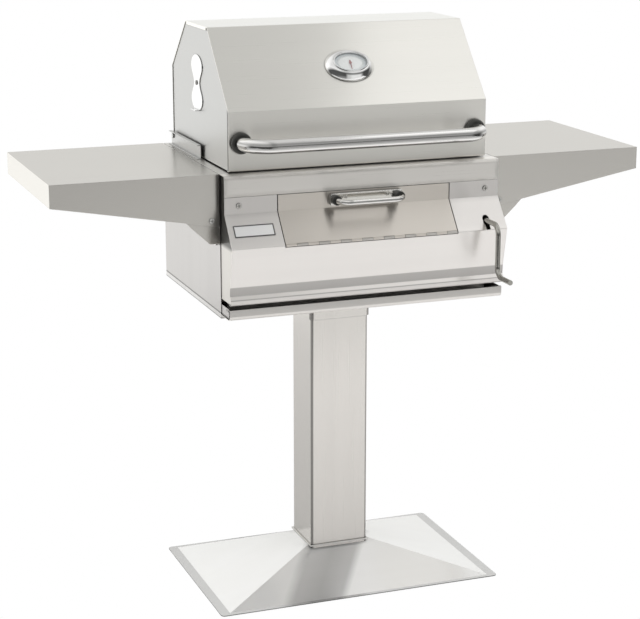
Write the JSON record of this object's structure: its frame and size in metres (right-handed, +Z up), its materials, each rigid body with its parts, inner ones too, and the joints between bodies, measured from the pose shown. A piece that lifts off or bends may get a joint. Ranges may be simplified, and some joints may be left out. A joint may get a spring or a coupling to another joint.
{
  "type": "charcoal grill",
  "caption": "Freestanding stainless charcoal grill on a post and hipped base, with a hinged hood, side shelves, charcoal door, crank lift and ash tray.",
  "frame": {"origin": "floor level, in the middle of the post", "axes": "+X to the right as seen by someone cooking, +Y to the back, +Z up; the front faces -Y"},
  "size_m": [1.439, 0.6627, 1.3505],
  "materials": {
    "brushed_steel": "satin, with a fine long grain",
    "polished_steel": "bright polished stainless steel",
    "dark_steel": "dull grey steel, heat stained",
    "grid_steel": "round stainless rod, slightly heat stained",
    "black_plastic": "satin black heat-proof collars",
    "dial_face": "matt off-white",
    "needle_paint": "matt dark red",
    "clear_glass": "clear and flat"
  },
  "bodies": {
    "grill": {"base_cover": "brushed_steel", "base_floor_plate": "dark_steel", "post_foot_plate": "dark_steel", "post_foot_bolts": "polished_steel", "post": "brushed_steel", "post_collar": "brushed_steel", "support_plate": "dark_steel", "support_bolts": "polished_steel", "bottom_pan": "brushed_steel", "side_panel_left": "brushed_steel", "side_panel_right": "brushed_steel", "back_panel": "brushed_steel", "inner_front_wall": "brushed_steel", "top_deck": "brushed_steel", "trim_band": "brushed_steel", "front_panel": "brushed_steel", "end_cap_left": "brushed_steel", "end_cap_right": "brushed_steel", "panel_screws": "polished_steel", "name_plate": "polished_steel", "hood_rail_left": "brushed_steel", "hood_rail_right": "brushed_steel", "hood_hinge_pins": "polished_steel", "grid_ledge_front": "dark_steel", "grid_ledge_back": "dark_steel", "cooking_grid_left": "grid_steel", "cooking_grid_right": "grid_steel", "shaft_bushes": "dark_steel", "link_stubs": "dark_steel", "door_hinge_fixed": "dark_steel", "door_hinge_pin": "polished_steel", "shelf_left": "brushed_steel", "shelf_right": "brushed_steel", "shelf_brackets_left": "brushed_steel", "shelf_brackets_right": "brushed_steel", "shelf_fasteners": "polished_steel", "tray_runners": "dark_steel"},
    "hood": {"hood_shell": "brushed_steel", "hood_side_left": "brushed_steel", "hood_side_right": "brushed_steel", "hood_handle": "polished_steel", "handle_grommets": "black_plastic", "handle_bolts": "polished_steel", "thermometer_bezel": "polished_steel", "thermometer_dial": "dial_face", "thermometer_lens": "clear_glass", "thermometer_stem": "polished_steel", "vent_rivets": "dark_steel"},
    "thermometer_hand": {"thermometer_needle": "needle_paint"},
    "left_vent": {"vent_shutter_left": "polished_steel"},
    "right_vent": {"vent_shutter_right": "polished_steel"},
    "front_door": {"charcoal_door": "brushed_steel", "door_handle_plate": "polished_steel", "door_handle_rod": "polished_steel", "door_handle_grommets": "black_plastic"},
    "lift_crank": {"crank_and_arms": "dark_steel"},
    "left_links": {"swing_links": "dark_steel"},
    "pan": {"charcoal_pan": "dark_steel"},
    "tray": {"ash_tray": "brushed_steel", "ash_tray_ends": "brushed_steel"}
  },
  "joints": [
    {"name": "hood_hinge", "type": "hinge", "parent": "grill", "child": "hood", "pos_m": [0, 0.2355, 1.064], "axis": [-1, 0, 0], "range_deg": [0, 90]},
    {"name": "door_hinge", "type": "hinge", "parent": "grill", "child": "front_door", "pos_m": [0, -0.27444, 0.887], "axis": [1, 0, 0], "range_deg": [0, 90]},
    {"name": "lift_turn", "type": "hinge", "parent": "grill", "child": "lift_crank", "pos_m": [0.288, 0, 0.906], "axis": [0, -1, 0], "range_deg": [0, 75]},
    {"name": "pan_level", "type": "hinge", "parent": "lift_crank", "child": "pan", "pos_m": [0.25206, 0, 0.93308], "axis": [0, -1, 0], "range_deg": [-75, 0]},
    {"name": "link_turn", "type": "hinge", "parent": "grill", "child": "left_links", "pos_m": [-0.21612, 0, 0.906], "axis": [0, -1, 0], "range_deg": [0, 75]},
    {"name": "tray_slide", "type": "slide", "parent": "grill", "child": "tray", "axis": [0, -1, 0], "range_m": [0, 0.3]},
    {"name": "left_vent_turn", "type": "hinge", "parent": "hood", "child": "left_vent", "pos_m": [-0.313, 0.04503, 1.21586], "axis": [1, 0, 0], "range_deg": [0, 90]},
    {"name": "right_vent_turn", "type": "hinge", "parent": "hood", "child": "right_vent", "pos_m": [0.313, 0.04503, 1.21586], "axis": [1, 0, 0], "range_deg": [0, 90]},
    {"name": "needle_turn", "type": "hinge", "parent": "hood", "child": "thermometer_hand", "pos_m": [0, -0.12009, 1.25934], "axis": [0, 0.7472, -0.6646], "range_deg": [0, 300]}
  ],
  "couplings": [
    {"joint": "pan_level", "follows": "lift_turn", "ratio": -1},
    {"joint": "link_turn", "follows": "lift_turn", "ratio": 1}
  ]
}
